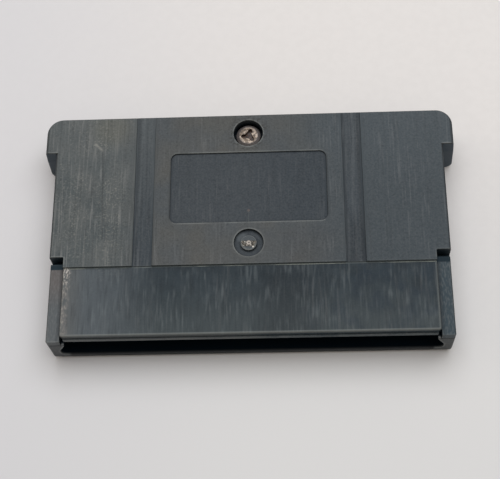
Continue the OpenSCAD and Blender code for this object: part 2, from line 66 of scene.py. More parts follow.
# Zones of the housing, as the part's source places them
SEAM_Z = 5.4
STEP_Y = CONNECTOR_END + 10.9
NOTCH_Y = CONNECTOR_END + 12.5
PLATE_END = CONNECTOR_END + 0.63
PLATE_HALF_W = 26.55
RAIL_LEVEL = BACK_FACE - 0.95
BODY_HALF_W = 28.65
SHOULDER_Y = GRIP_END - 5.9
SUNK_LEVEL = BACK_FACE - 0.11
GROOVE_IN, GROOVE_OUT = 13.83, 16.68
FIELD_HALF_W = 11.45
FIELD_TOP = GRIP_END - 6.55
FIELD_BOTTOM = FIELD_TOP - 11.3
GATE_Y = GRIP_END - 21.1
PAD_R = 1.15
PAD_TOP = BACK_FACE - 0.15

# The housing's ABS, whose shine is dulled by handling
ABS_IOR = 1.53
ABS_SHEEN = 0.18

# Colours of the shells that come up more than once
ROOM_SHADE = "#0a151d"
NOTCH_SHADE = "#28333a"
RIM_SHADE = "#12171a"
# Painted bluish shade on the shoulders that face the connector end
SHOULDER_SHADE_BLUE = "#4e5b67"
RUBBED_EDGE = "#7f8381"


# Node, mask and colour helpers


def linear(hex_colour):
    """sRGB hex text as the opaque linear colour that Blender's sockets take."""
    channels = [int(hex_colour[i : i + 2], 16) / 255 for i in (1, 3, 5)]
    return [c / 12.92 if c <= 0.04045 else ((c + 0.055) / 1.055) ** 2.4 for c in channels] + [1.0]


def add(tree, kind, inputs=None, **settings):
    """One shader node with its settings, and each input set to a value or linked to a socket."""
    node = tree.nodes.new("ShaderNode" + kind)
    for name, value in settings.items():
        setattr(node, name, value)
    for name, value in (inputs or {}).items():
        if isinstance(value, bpy.types.NodeSocket):
            tree.links.new(value, node.inputs[name])
        else:
            node.inputs[name].default_value = value
    return node


def new_finish(name):
    """A material, its empty tree, and the place on the piece in millimetres, in the cartridge's own axes."""
    material = bpy.data.materials.new(name)
    material.use_nodes = True
    tree = material.node_tree
    tree.nodes.clear()
    coordinates = add(tree, "TexCoord").outputs["Object"]
    place = add(tree, "VectorMath", {0: coordinates, 3: 1 / MM}, operation="SCALE").outputs[0]
    return material, tree, place


def finished(material, surface):
    """The material with its surface shader; each of the shader's inputs is a plain value or a pattern."""
    tree = material.node_tree
    shader = add(tree, "BsdfPrincipled", surface)
    add(tree, "OutputMaterial", {"Surface": shader.outputs[0]}, is_active_output=True)
    return material


def past(tree, value, edge, blend):
    """Mask that rises from 0 to 1 as a value crosses an edge, or falls where the blend width is negative."""
    ends = {1: edge - blend / 2, 2: edge + blend / 2}
    return add(tree, "MapRange", {0: value} | ends, interpolation_type="SMOOTHSTEP").outputs[0]


def beyond(tree, place, axis, edge, blend):
    """Mask that rises or falls as the place crosses an edge along one axis, in mm."""
    return past(tree, add(tree, "SeparateXYZ", {0: place}).outputs[axis], edge, blend)


def both(tree, *masks):
    """Mask where all the given masks hold."""
    product = masks[0]
    for mask in masks[1:]:
        product = add(tree, "Math", {0: product, 1: mask}, operation="MULTIPLY").outputs[0]
    return product


def either(tree, *masks):
    """Mask where any of the given masks holds."""
    largest = masks[0]
    for mask in masks[1:]:
        largest = add(tree, "Math", {0: largest, 1: mask}, operation="MAXIMUM").outputs[0]
    return largest


def band(tree, place, axis, low, high, blend):
    """Mask of a band across one axis, with blended sides."""
    return both(tree, beyond(tree, place, axis, low, blend), beyond(tree, place, axis, high, -blend))


def radius_mm(tree, place, centre):
    """Distance from an upright axis at centre, in mm."""
    offset = add(tree, "VectorMath", {0: place, 1: (*centre, 0)}, operation="SUBTRACT").outputs[0]
    flat = add(tree, "VectorMath", {0: offset, 1: (1, 1, 0)}, operation="MULTIPLY").outputs[0]
    return add(tree, "VectorMath", {0: flat}, operation="LENGTH").outputs["Value"]


def spot(tree, place, centre, radius, blend):
    """Mask of a round spot seen on top, in mm."""
    return past(tree, radius_mm(tree, place, centre), radius, -blend)


def ring(tree, place, centre, inner, outer, blend):
    """Mask of a ring seen on top, in mm."""
    radius = radius_mm(tree, place, centre)
    return both(tree, past(tree, radius, inner, blend), past(tree, radius, outer, -blend))


def stroke(tree, place, start, end, width):
    """Mask of one straight mark seen on top, from one place to another, in mm."""
    along = Vector(end) - Vector(start)
    laid = {"Vector": place, "Location": (*start, 0), "Rotation": (0, 0, math.atan2(along.y, along.x))}
    local = add(tree, "Mapping", laid, vector_type="TEXTURE").outputs[0]
    across = band(tree, local, "Y", -width / 2, width / 2, width)
    return both(tree, band(tree, local, "X", 0, along.length, 2 * width), across)


def flecks(tree, place, size, low, high, shift, detail=2.0):
    """Blotches of about one size in mm; low and high set how many there are, and shift which ones."""
    moved = add(tree, "Mapping", {"Vector": place, "Location": (shift,) * 3}).outputs[0]
    cloud = add(tree, "TexNoise", {"Vector": moved, "Scale": 1 / size, "Detail": detail}).outputs[0]
    return add(tree, "MapRange", {0: cloud, 1: low, 2: high}).outputs[0]


def rubs(tree, place, width, length, low, high, shift):
    """Fine lines along the way the cartridge slides, of a width and length in mm, set as flecks are."""
    squeezed = {"Vector": place, "Location": (shift,) * 3, "Scale": (1 / width, 1 / length, 1 / width)}
    moved = add(tree, "Mapping", squeezed).outputs[0]
    cloud = add(tree, "TexNoise", {"Vector": moved, "Scale": 1.0, "Detail": 1.0}).outputs[0]
    return add(tree, "MapRange", {0: cloud, 1: low, 2: high}).outputs[0]


def hollow_mask(tree, reach, low, high):
    """Mask of corners, gaps and rooms that little light enters, judged over a reach in mm."""
    openness = add(tree, "AmbientOcclusion", {"Distance": reach * MM}, samples=8).outputs["AO"]
    return add(tree, "MapRange", {0: openness, 1: high, 2: low}).outputs[0]


def rim_mask(tree, reach):
    """Mask of outer edges, judged by how soon a way in from the surface comes out again, in mm."""
    depth = add(tree, "AmbientOcclusion", {"Distance": reach * MM}, samples=8, inside=True).outputs["AO"]
    return add(tree, "MapRange", {0: depth, 1: 0.94, 2: 0.6}).outputs[0]


def turned_aside(tree):
    """Mask of walls and edges that face the sides or the grip's end."""
    facing = add(tree, "SeparateXYZ", {0: add(tree, "NewGeometry").outputs["Normal"]}).outputs
    sideways = add(tree, "Math", {0: facing["X"]}, operation="ABSOLUTE").outputs[0]
    turned = [add(tree, "MapRange", {0: way, 1: 0.2, 2: 0.7}).outputs[0] for way in (sideways, facing["Y"])]
    return either(tree, *turned)


def laid_over(tree, under, over, mask, share=1.0):
    """Colour with another laid over it where the mask holds, at most by a share."""
    if share < 1:
        mask = add(tree, "Math", {0: mask, 1: share}, operation="MULTIPLY").outputs[0]
    under, over = (linear(colour) if isinstance(colour, str) else colour for colour in (under, over))
    return add(tree, "Mix", {0: mask, 6: under, 7: over}, data_type="RGBA").outputs[2]


def layered(tree, colour, *layers):
    """Colour with layers laid over it in turn, each a colour, its mask and, where needed, its share."""
    for layer in layers:
        colour = laid_over(tree, colour, *layer)
    return colour


def roughened(tree, height, distance, strength, radius=0.12):
    """Normal with softened edges and a relief of a distance in mm over them."""
    softened = add(tree, "Bevel", {"Radius": radius * MM}, samples=6).outputs[0]
    relief = {"Height": height, "Distance": distance * MM, "Strength": strength, "Normal": softened}
    return add(tree, "Bump", relief).outputs[0]


# What both shells share


def notches(tree, place, either_side):
    """Mask of the two notches above the rails, through the whole thickness."""
    beside_plate = beyond(tree, either_side, "X", PLATE_HALF_W + 0.05, 0.1)
    return both(tree, beside_plate, band(tree, place, "Y", STEP_Y, NOTCH_Y + 0.02, 0.15))


def shoulders(tree, place, either_side):
    """Mask of the grip's two shoulders, which face the connector end."""
    beside_body = beyond(tree, either_side, "X", BODY_HALF_W + 0.1, 0.1)
    return both(tree, beside_body, band(tree, place, "Y", SHOULDER_Y - 0.4, SHOULDER_Y + 0.1, 0.05))


def aged_and_shaded_skin(tree, place, colour, rims, rim_colour, kept):
    """Spark grain, pits and rubbed edges over the ABS's own colour, with painted shade on walls, in corners
    and in dark rooms.

    The grain shows where it is kept, and not where the surface is polished.
    """
    # Mould grain of about 0.15 mm, drawn at 0.25 mm so that it shows
    grain = both(tree, flecks(tree, place, 0.25, 0.35, 0.65, 5.5, 3.0), kept)
    pits = both(tree, flecks(tree, place, 0.38, 0.56, 0.72, 60.2), kept)
    parting_line = band(tree, place, "Z", SEAM_Z - 0.2, SEAM_Z + 0.2, 0.1)
    off_floor = beyond(tree, place, "Z", 0.8, 0.4)
    aged_and_shaded = layered(
        tree,
        colour,
        ("#85888a", grain, 0.08),
        ("#15181a", pits, 0.25),
        # Painted shade: walls that face the sides or the grip's end are darker than the face
        ("#1c2226", turned_aside(tree), 0.5),
        (rim_colour, rims),
        ("#0c1013", parting_line, 0.8),
        # Painted shade in corners and at the feet of walls
        ("#191e21", both(tree, off_floor, hollow_mask(tree, 0.5, 0.62, 0.9)), 0.55),
        # Painted shade deep in rooms and holes that little light enters
        (ROOM_SHADE, both(tree, off_floor, hollow_mask(tree, 2.5, 0.2, 0.6))),
    )
    return aged_and_shaded, grain


# The back shell's finish


def back_zones(tree, place, either_side):
    """Masks of the back shell's zones, which its colours and its gloss share."""
    behind_step = beyond(tree, place, "Y", STEP_Y, 0.04)
    end_plate = beyond(tree, place, "Y", STEP_Y, -0.04)
    sunk = both(tree, behind_step, beyond(tree, place, "Z", SUNK_LEVEL, -0.1))
    return SimpleNamespace(
        behind_step=behind_step,
        raised=beyond(tree, place, "Z", SUNK_LEVEL, 0.1),
        sunk=sunk,
        field=both(tree, sunk, beyond(tree, either_side, "X", FIELD_HALF_W + 1, -0.2)),
        upper=beyond(tree, place, "Y", 9.0, 14.0),
        left=beyond(tree, place, "X", -17.0, -7.0),
        end_plate=end_plate,
        plate_top=both(tree, end_plate, beyond(tree, place, "Z", RAIL_LEVEL + 0.3, 0.1)),
        rails=both(tree, end_plate, beyond(tree, place, "Z", RAIL_LEVEL + 0.1, -0.1)),
    )


def raised_face_colour(tree, place, zones):
    """Painted light makes the left paler and painted shade the right darker and bluer; the grip end is paler
    too.
    """
    left, right = zones.left, beyond(tree, place, "X", 10.0, 20.0)
    middle = band(tree, place, "Y", -2.0, 7.5, 4.0)
    beside_gate = both(tree, band(tree, place, "X", 5.0, 13.0, 3.0), band(tree, place, "Y", -6.8, -1.5, 2.5))
    return layered(
        tree,
        "#414649",
        ("#484947", flecks(tree, place, 6.0, 0.35, 0.65, 3.1)),
        ("#434a4c", left),
        ("#4e5354", both(tree, left, zones.upper), 0.8),
        ("#3a4143", both(tree, left, middle), 0.4),
        ("#3b3a3a", beside_gate, 0.35),
        ("#363e43", right),
        ("#3e464b", both(tree, right, zones.upper)),
        ("#5e605f", both(tree, left, flecks(tree, place, 4.5, 0.4, 0.62, 90.4)), 0.35),
    )


def groove_colour(tree, place, either_side):
    """Floors of the two long grooves: darker and bluer down their length, with painted shade on the right,
    darkest along their sides.
    """
    right = beyond(tree, place, "X", 0.0, 20.0)
    outer_side = band(tree, either_side, "X", GROOVE_OUT - 0.65, GROOVE_OUT - 0.2, 0.4)
    right_inner_side = band(tree, place, "X", GROOVE_IN, GROOVE_IN + 0.4, 0.4)
    return layered(
        tree,
        "#2c343a",
        ("#43494c", beyond(tree, place, "Y", 5.0, 24.0)),
        ("#2a3239", right, 0.6),
        ("#1b2329", both(tree, right, beyond(tree, place, "Y", 0.0, -6.0)), 0.8),
        ("#5f6568", rubs(tree, place, 0.4, 9.0, 0.48, 0.7, 8.3), 0.22),
        ("#171d22", rubs(tree, place, 0.5, 12.0, 0.52, 0.72, 58.3), 0.35),
        # Painted shade along the grooves' sides
        ("#171d21", either(tree, outer_side, right_inner_side), 0.4),
    )


def end_plate_colour(tree, place):
    """The sunken end: bluish dark, greyer at its end, greyer at its left as painted light, with short pale
    and dark strokes.
    """
    pale_strokes = rubs(tree, place, 0.36, 3.0, 0.48, 0.72, 27.3)
    right = beyond(tree, place, "X", 10.0, 14.0)
    return layered(
        tree,
        "#1e282e",
        ("#283238", flecks(tree, place, 2.5, 0.35, 0.65, 12.7)),
        ("#384043", beyond(tree, place, "Y", -12.5, -9.0)),
        ("#4c5358", beyond(tree, place, "X", -17.5, -12.0)),
        ("#535759", beyond(tree, place, "X", -24.2, -3.0)),
        ("#10161a", band(tree, place, "X", 1.5, 9.5, 4.0), 0.36),
        ("#6b7376", both(tree, pale_strokes, flecks(tree, place, 3.0, 0.35, 0.6, 44.1)), 0.31),
        ("#12181d", rubs(tree, place, 0.4, 3.6, 0.5, 0.72, 77.3), 0.25),
        ("#172531", both(tree, right, flecks(tree, place, 2.4, 0.45, 0.65, 52.9)), 0.4),
    )


def rail_colour(tree, place):
    """The rails beside the plate: paler at the left as painted light and speckled there, where the upper
    part is warmer.
    """
    left = beyond(tree, place, "X", 0.0, -10.0)
    return layered(
        tree,
        "#303d44",
        ("#53585b", left),
        ("#5d5755", both(tree, left, beyond(tree, place, "Y", -11.0, 5.0)), 0.7),
        ("#7b7d7d", rubs(tree, place, 0.25, 0.7, 0.46, 0.68, 36.1), 0.22),
    )


def left_marks(tree, place, colour):
    """Marks on the left of the face: a yellowed spot, patches of specks, a dark line and a pale scratch."""
    specks = both(tree, flecks(tree, place, 0.28, 0.5, 0.66, 15.9), flecks(tree, place, 1.1, 0.3, 0.6, 40.4))
    patch = spot(tree, place, (-21.6, 13.6), 2.2, 2.0)
    column = both(tree, band(tree, place, "X", -22.0, -18.4, 3.0), band(tree, place, "Y", -6.8, 9.0, 8.0))
    edge = both(tree, band(tree, place, "X", -26.3, -24.6, 1.4), band(tree, place, "Y", -3.5, 9.0, 7.0))
    return layered(
        tree,
        colour,
        ("#5d5c50", spot(tree, place, (-20.5, 15.5), 2.6, 3.0), 0.35),
        ("#8f8f87", both(tree, either(tree, patch, column, edge), specks), 0.34),
        ("#202527", stroke(tree, place, (-21.66, 12.0), (-21.11, -2.7), 0.2), 0.45),
        ("#b5b3aa", stroke(tree, place, (-22.9, 13.0), (-21.65, 11.75), 0.34), 0.22),
    )


def rubbed_lines(tree, place, zones, colour):
    """Pale rubbed lines of 0.2 to 0.3 mm, more on the left, darker ones between them, and pale specks."""
    pale = rubs(tree, place, 0.26, 6.0, 0.54, 0.7, 21.4)
    dark = rubs(tree, place, 0.3, 9.0, 0.55, 0.72, 47.9)
    rubbed = both(tree, pale, flecks(tree, place, 6.0, 0.42, 0.6, 33.0))
    raised_left = both(tree, zones.left, zones.raised)
    specks = both(tree, flecks(tree, place, 0.3, 0.56, 0.7, 95.2), flecks(tree, place, 3.5, 0.4, 0.6, 11.2))
    lined = layered(
        tree,
        colour,
        ("#6f7172", rubbed, 0.14),
        ("#8f8f8c", both(tree, pale, raised_left), 0.2),
        ("#1d2225", dark, 0.18),
        ("#1d2225", both(tree, dark, raised_left), 0.12),
        ("#8f8f88", both(tree, raised_left, specks), 0.26),
    )
    return lined, pale, rubbed


def rubbed_rims(tree, place, either_side, zones):
    """Mask of outer edges that use has rubbed; the grooves, the field and the step are too low for much."""
    beside_sunk = band(tree, either_side, "X", FIELD_HALF_W - 0.4, GROOVE_OUT + 0.4, 0.1)
    near_step = band(tree, place, "Y", STEP_Y - 0.3, STEP_Y + 0.4, 0.1)
    low = either(tree, both(tree, zones.behind_step, beside_sunk), near_step)
    rubbed_share = add(tree, "MapRange", {0: low, 3: 0.5, 4: 0.1}).outputs[0]
    return both(tree, rim_mask(tree, 0.3), flecks(tree, place, 2.5, 0.25, 0.55, 18.8), rubbed_share)


def low_sides(tree, place, either_side, zones, colour, face_colour):
    """Sides of the grooves and the field, with the face's colour painted back over them as painted light, so
    that they show less than other walls.
    """
    inner_sides = band(tree, either_side, "X", GROOVE_IN - 0.3, GROOVE_IN + 0.35, 0.1)
    outer_sides = band(tree, either_side, "X", GROOVE_OUT - 0.35, GROOVE_OUT + 0.3, 0.1)
    field_sides = band(tree, either_side, "X", FIELD_HALF_W - 0.35, FIELD_HALF_W + 0.3, 0.1)
    field_height = band(tree, place, "Y", FIELD_BOTTOM - 0.2, FIELD_TOP - 1.2, 1.0)
    field_foot = band(tree, either_side, "X", FIELD_HALF_W - 0.05, FIELD_HALF_W + 0.18, 0.1)
    foot_height = band(tree, place, "Y", FIELD_BOTTOM + 0.7, FIELD_TOP - 0.6, 0.6)
    return layered(
        tree,
        colour,
        (face_colour, both(tree, zones.behind_step, either(tree, inner_sides, outer_sides)), 0.75),
        (face_colour, both(tree, field_sides, field_height), 0.5),
        # Painted shade: a fine dark line along the foot of the field's sides
        ("#14191c", both(tree, field_foot, foot_height), 0.32),
    )


def plate_wear_and_step_light(tree, place, either_side, zones, colour):
    """The sunken plate's edges, rubbed pale, painted light over the step, and a strip along its left side
    that is stress-whitened and partly a painted highlight.
    """
    # Painted light over the step's wall and the shade at its foot; the step's pale edge lies just below it
    # and shows in places
    step_painted_light = both(
        tree,
        beyond(tree, either_side, "X", PLATE_HALF_W, -0.05),
        band(tree, place, "Y", STEP_Y - 0.2, STEP_Y + 0.02, 0.04),
    )
    step_pale_edge = both(tree, step_painted_light, beyond(tree, place, "Y", STEP_Y - 0.08, -0.06))
    end = both(tree, zones.plate_top, band(tree, place, "Y", PLATE_END - 0.05, PLATE_END + 0.25, 0.15))
    sides = both(tree, zones.plate_top, band(tree, either_side, "X", PLATE_HALF_W - 0.3, PLATE_HALF_W, 0.15))
    # The strip is partly stress-whitening and partly a painted highlight
    strip = both(tree, zones.plate_top, beyond(tree, place, "X", -PLATE_HALF_W + 0.9, -0.9))
    strip = both(tree, strip, flecks(tree, place, 0.9, 0.3, 0.6, 62.8))
    strip_marks = both(tree, rubs(tree, place, 0.24, 0.5, 0.48, 0.62, 70.6), strip)
    return layered(
        tree,
        colour,
        ("#4d5456", step_painted_light, 0.85),
        ("#999e96", both(tree, step_pale_edge, flecks(tree, place, 3.5, 0.45, 0.62, 71.4)), 0.6),
        (RUBBED_EDGE, end, 0.42),
        (RUBBED_EDGE, sides, 0.22),
        ("#7d7975", strip, 0.42),
        ("#c9c2bb", strip_marks, 0.18),
        ("#d8d3cc", both(tree, strip_marks, beyond(tree, place, "Y", -9.0, 4.0)), 0.8),
    )


def rim_shade(tree, place, either_side, colour):
    """Painted shade on the rounded rim of the face, which turns away from the light, and painted bluish
    shade on the grip's shoulders.
    """
    body_rim = both(
        tree,
        beyond(tree, either_side, "X", BODY_HALF_W - 0.24, 0.1),
        beyond(tree, place, "Y", SHOULDER_Y, -0.1),
    )
    grip_sides = beyond(tree, either_side, "X", BACK_HIGH.x - 0.6, 0.1)
    rim = either(tree, body_rim, grip_sides, beyond(tree, place, "Y", GRIP_END - 0.26, 0.1))
    under_face = beyond(tree, place, "Z", BACK_FACE - 0.3, -0.1)
    return layered(
        tree,
        colour,
        (RIM_SHADE, both(tree, beyond(tree, place, "Z", RAIL_LEVEL - 0.4, 0.1), rim), 0.45),
        (SHOULDER_SHADE_BLUE, both(tree, shoulders(tree, place, either_side), under_face), 0.7),
    )


def screw_and_gate_marks(tree, place, colour):
    """Skin oil and dust held round the screw's hole, the marks round the gate, and painted light in the
    gate's recess.
    """
    round_hole = ring(tree, place, (0, SCREW_Y), 2.1, 3.0, 0.8)
    return layered(
        tree,
        colour,
        ("#2b2a26", both(tree, round_hole, flecks(tree, place, 0.35, 0.5, 0.62, 81.3)), 0.6),
        # Painted reflected light makes the gate's recess paler at its upper left
        ("#666d71", spot(tree, place, (-1.05, GATE_Y + 1.05), 0.7, 0.7), 0.35),
        # The spot and the line over the gate, where the plastic flowed
        ("#80706a", spot(tree, place, (0, GATE_Y + 5.15), 0.2, 0.2), 0.3),
        ("#80857f", stroke(tree, place, (0, GATE_Y + 3.0), (0, GATE_Y + 5.0), 0.16), 0.1),
    )


def worn_and_shaded_abs_back():
    """Dark grey ABS from a spark-eroded mould: matt and grainy, smoother where it slides in the console.

    Use has rubbed fine lines along its length, most on its left, and polished the sunken end.
    """
    # Painted light and shade are laid into the colour too: paler at the left, darker at the right, on walls,
    # in corners, gaps and notches
    material, tree, place = new_finish("spark_eroded_abs_worn_and_shaded")
    either_side = add(tree, "VectorMath", {0: place}, operation="ABSOLUTE").outputs[0]
    zones = back_zones(tree, place, either_side)
    # The field is darker toward its right, as painted shade
    field_colour = laid_over(tree, "#373d42", "#30373d", beyond(tree, place, "X", 3.0, 14.0))
    colour = layered(
        tree,
        raised_face_colour(tree, place, zones),
        (groove_colour(tree, place, either_side), zones.sunk),
        (field_colour, zones.field),
        (end_plate_colour(tree, place), zones.end_plate),
        (rail_colour(tree, place), zones.rails),
    )
    colour, pale_lines, rubbed = rubbed_lines(tree, place, zones, colour)
    face_colour = left_marks(tree, place, colour)

    rims = rubbed_rims(tree, place, either_side, zones)
    kept_grain = add(tree, "MapRange", {0: zones.end_plate, 3: 1.0, 4: 0.35}).outputs[0]
    colour, grain = aged_and_shaded_skin(tree, place, face_colour, rims, "#878b8a", kept_grain)
    colour = low_sides(tree, place, either_side, zones, colour, face_colour)
    colour = plate_wear_and_step_light(tree, place, either_side, zones, colour)
    colour = rim_shade(tree, place, either_side, colour)

    # Shade in the gaps beside the plate and in the notches
    beside_plate = band(tree, either_side, "X", PLATE_HALF_W + 0.05, PLATE_HALF_W + 0.55, 0.3)
    below_face = beyond(tree, place, "Z", BACK_FACE - 0.4, -0.2)
    notch = both(tree, notches(tree, place, either_side), below_face)
    colour = laid_over(tree, colour, RIM_SHADE, both(tree, zones.end_plate, beside_plate), 0.3)
    colour = laid_over(tree, colour, NOTCH_SHADE, notch, 0.85)
    colour = screw_and_gate_marks(tree, place, colour)

    # Roughness levels, as greys so that they are laid over each other as colours are
    dull, smooth, polished = ((level, level, level, 1) for level in (0.6, 0.48, 0.4))
    slid_on = either(tree, zones.end_plate, rubbed)
    # Use has left a thin dull film on the sunken end and the field, and nothing shines in the notches
    filmed = either(tree, zones.end_plate, zones.field)
    sheen = add(tree, "MapRange", {0: filmed, 3: ABS_SHEEN, 4: ABS_SHEEN / 2}).outputs[0]
    line_depth = add(tree, "Math", {0: pale_lines, 1: 0.35}, operation="MULTIPLY").outputs[0]
    raised_grain = both(tree, grain, zones.raised)
    height = add(tree, "Math", {0: raised_grain, 1: line_depth}, operation="SUBTRACT").outputs[0]
    surface = {
        "IOR": ABS_IOR,
        "Base Color": colour,
        "Roughness": layered(tree, dull, (smooth, zones.field), (polished, slid_on, 0.8)),
        "Specular IOR Level": add(tree, "MapRange", {0: notch, 3: sheen, 4: 0.0}).outputs[0],
        "Normal": roughened(tree, height, 0.03, 0.6),
    }
    return finished(material, surface)


# The other finishes


def worn_and_shaded_abs_front():
    """The front shell's ABS: the same dark grey, grainy underneath, with rubbed edges and painted shade
    inside.
    """
    material, tree, place = new_finish("spark_eroded_abs_front")
    either_side = add(tree, "VectorMath", {0: place}, operation="ABSOLUTE").outputs[0]
    colour = layered(
        tree,
        "#3c4245",
        ("#434646", flecks(tree, place, 7.0, 0.35, 0.65, 3.1)),
        # Painted light makes the front shell paler toward its left
        ("#4b4e50", beyond(tree, place, "X", -22.0, -12.0), 0.6),
        ("#7d7e7c", rubs(tree, place, 0.3, 4.0, 0.52, 0.72, 17.2), 0.2),
    )
    rims = both(tree, rim_mask(tree, 0.3), flecks(tree, place, 2.5, 0.1, 0.7, 18.8))
    bottom_grain = beyond(tree, place, "Z", 0.0, -0.2)
    colour, grain = aged_and_shaded_skin(tree, place, colour, rims, "#7d8181", bottom_grain)

    # No light comes back out of the mouth, and its end face and the notches are in the same shade
    mouth = both(
        tree,
        beyond(tree, either_side, "X", FRONT_HIGH.x - 3.4, -0.3),
        band(tree, place, "Y", CONNECTOR_END + 0.25, NOTCH_Y, 0.3),
        beyond(tree, place, "Z", 1.2, 0.2),
    )
    end_face = both(
        tree,
        beyond(tree, either_side, "X", FRONT_HIGH.x - 4.6, -0.6),
        beyond(tree, place, "Y", CONNECTOR_END + 0.4, -0.3),
    )
    near_seam = beyond(tree, place, "Z", SEAM_Z - 0.8, 0.4)
    notch = both(tree, notches(tree, place, either_side), near_seam)
    colour = layered(
        tree,
        colour,
        (ROOM_SHADE, mouth),
        (NOTCH_SHADE, notch, 0.85),
        # Painted bluish shade on the shoulders that face the connector end
        (SHOULDER_SHADE_BLUE, shoulders(tree, place, either_side), 0.7),
        ("#101316", end_face, 0.85),
    )
    in_shade = either(tree, mouth, notch)
    surface = {
        "IOR": ABS_IOR,
        "Base Color": colour,
        "Roughness": 0.55,
        "Specular IOR Level": add(tree, "MapRange", {0: in_shade, 3: ABS_SHEEN, 4: 0.0}).outputs[0],
        "Normal": roughened(tree, grain, 0.03, 0.6),
    }
    return finished(material, surface)


def aged_screw_steel():
    """Nickel-plated steel, dulled by handling, with rust and dirt in its three-winged recess."""
    material, tree, place = new_finish("nickel_plated_steel_aged")
    centre = (0, SCREW_Y)
    stains = flecks(tree, place, 0.5, 0.4, 0.62, 2.2)
    dirt = flecks(tree, place, 0.3, 0.52, 0.62, 9.1)
    shoulder = ring(tree, place, centre, 1.35, 3.0, 0.25)
    below_top = beyond(tree, place, "Z", SCREW_HIGH.z - 0.12, -0.12)
    recess = both(tree, below_top, spot(tree, place, centre, 1.3, 0.1))
    colour = layered(
        tree,
        "#80756a",
        ("#5d5248", stains),
        ("#4a4338", dirt, 0.45),
        # The head's rounded shoulder is dim grey and not bare metal
        ("#565150", shoulder, 0.9),
        (laid_over(tree, "#1c130c", "#4d3321", flecks(tree, place, 0.3, 0.4, 0.6, 4.4)), recess),
    )
    not_bare_metal = either(tree, recess, dirt, shoulder)
    surface = {
        "Base Color": colour,
        "Metallic": add(tree, "MapRange", {0: not_bare_metal, 3: 1.0, 4: 0.0}).outputs[0],
        "Roughness": add(tree, "MapRange", {0: stains, 3: 0.4, 4: 0.6}).outputs[0],
        "Normal": roughened(tree, dirt, 0.03, 0.5, 0.08),
    }
    return finished(material, surface)


def torn_abs():
    """ABS torn off at the gate: whitened by stress on the high spots, dirty brown in the low ones."""
    material, tree, place = new_finish("torn_abs")
    gate = (0, GATE_Y)
    torn = flecks(tree, place, 0.3, 0.42, 0.6, 1.7)
    torn_zone = band(tree, place, "Y", GATE_Y - 0.55, GATE_Y + 0.3, 0.3)
    pale_spots = both(tree, flecks(tree, place, 0.22, 0.6, 0.67, 8.8), torn_zone)
    # Painted highlight: a pale crescent on the pad's lower rim
    lower_rim_highlight = both(
        tree,
        ring(tree, place, gate, PAD_R - 0.23, PAD_R + 0.05, 0.1),
        beyond(tree, place, "Y", GATE_Y - 0.1, -0.5),
    )
    colour = layered(
        tree,
        "#444a4e",
        (laid_over(tree, "#231f19", "#625e56", torn), torn_zone),
        ("#d2cec6", pale_spots, 0.7),
        ("#7c807e", lower_rim_highlight, 0.5),
        # A chip of clean plastic, and the runner's stub with its dark middle
        ("#e2ded6", spot(tree, place, (0.62, GATE_Y - 0.62), 0.13, 0.08), 0.8),
        ("#a8a29b", spot(tree, place, gate, 0.32, 0.12)),
        ("#1d1a17", spot(tree, place, (0.05, GATE_Y), 0.1, 0.06)),
    )
    surface = {
        "IOR": ABS_IOR,
        "Base Color": colour,
        "Roughness": 0.7,
        "Specular IOR Level": 0.3,
        "Normal": roughened(tree, torn, 0.05, 0.6, 0.03),
    }
    return finished(material, surface)


def green_solder_mask():
    """Glass-epoxy board under green solder mask: glossy, its copper tracks paler lines under the green."""
    material, tree, place = new_finish("green_solder_mask")
    spacing = {"Scale": 1.0, "Mortar Size": 0.12, "Brick Width": 5.2, "Row Height": 0.9}
    between_tracks = add(tree, "TexBrick", {"Vector": place} | spacing).outputs["Fac"]
    # Cut edges show the bare yellow-brown laminate
    upright = add(tree, "SeparateXYZ", {0: add(tree, "NewGeometry").outputs["Normal"]}).outputs["Z"]
    levelness = add(tree, "Math", {0: upright}, operation="ABSOLUTE").outputs[0]
    cut_edge = add(tree, "MapRange", {0: levelness, 1: 0.6, 2: 0.4}).outputs[0]
    colour = layered(
        tree,
        "#2f7a4f",
        ("#185236", between_tracks),
        ("#1f6a45", flecks(tree, place, 2.0, 0.4, 0.6, 6.6), 0.4),
        ("#a39a5c", cut_edge),
    )
    relief = roughened(tree, between_tracks, -0.03, 0.5, 0.05)
    return finished(material, {"Base Color": colour, "Roughness": 0.3, "Normal": relief})


def hard_gold():
    """Hard gold plate on copper, wiped along each finger by the console's springs."""
    material, tree, place = new_finish("hard_gold_plate")
    wiped = rubs(tree, place, 0.08, 3.0, 0.45, 0.7, 14.0)
    surface = {
        "Base Color": laid_over(tree, "#e6c069", "#c99a4a", wiped),
        "Metallic": 1.0,
        "Roughness": 0.25,
        "Normal": roughened(tree, wiped, 0.01, 0.4, 0.02),
    }
    return finished(material, surface)


def moulded_epoxy():
    """Black transfer-moulded epoxy of the chips: matt, from a fine sand-blasted mould."""
    material, tree, place = new_finish("moulded_epoxy")
    blast = flecks(tree, place, 0.12, 0.35, 0.65, 2.9, 3.0)
    surface = {
        "Base Color": laid_over(tree, "#191a1c", "#27282a", blast),
        "Roughness": 0.55,
        "IOR": 1.55,
        "Normal": roughened(tree, blast, 0.01, 0.4, 0.05),
    }
    return finished(material, surface)


def tin_plate():
    """Matt tin plate of the leads and end caps, with the ripple of the solder that wetted it."""
    material, tree, place = new_finish("tin_plate")
    wetted = flecks(tree, place, 0.25, 0.4, 0.62, 7.7)
    surface = {
        "Base Color": laid_over(tree, "#cfd0d2", "#a9abae", wetted),
        "Metallic": 1.0,
        "Roughness": 0.35,
        "Normal": roughened(tree, wetted, 0.02, 0.4, 0.03),
    }
    return finished(material, surface)


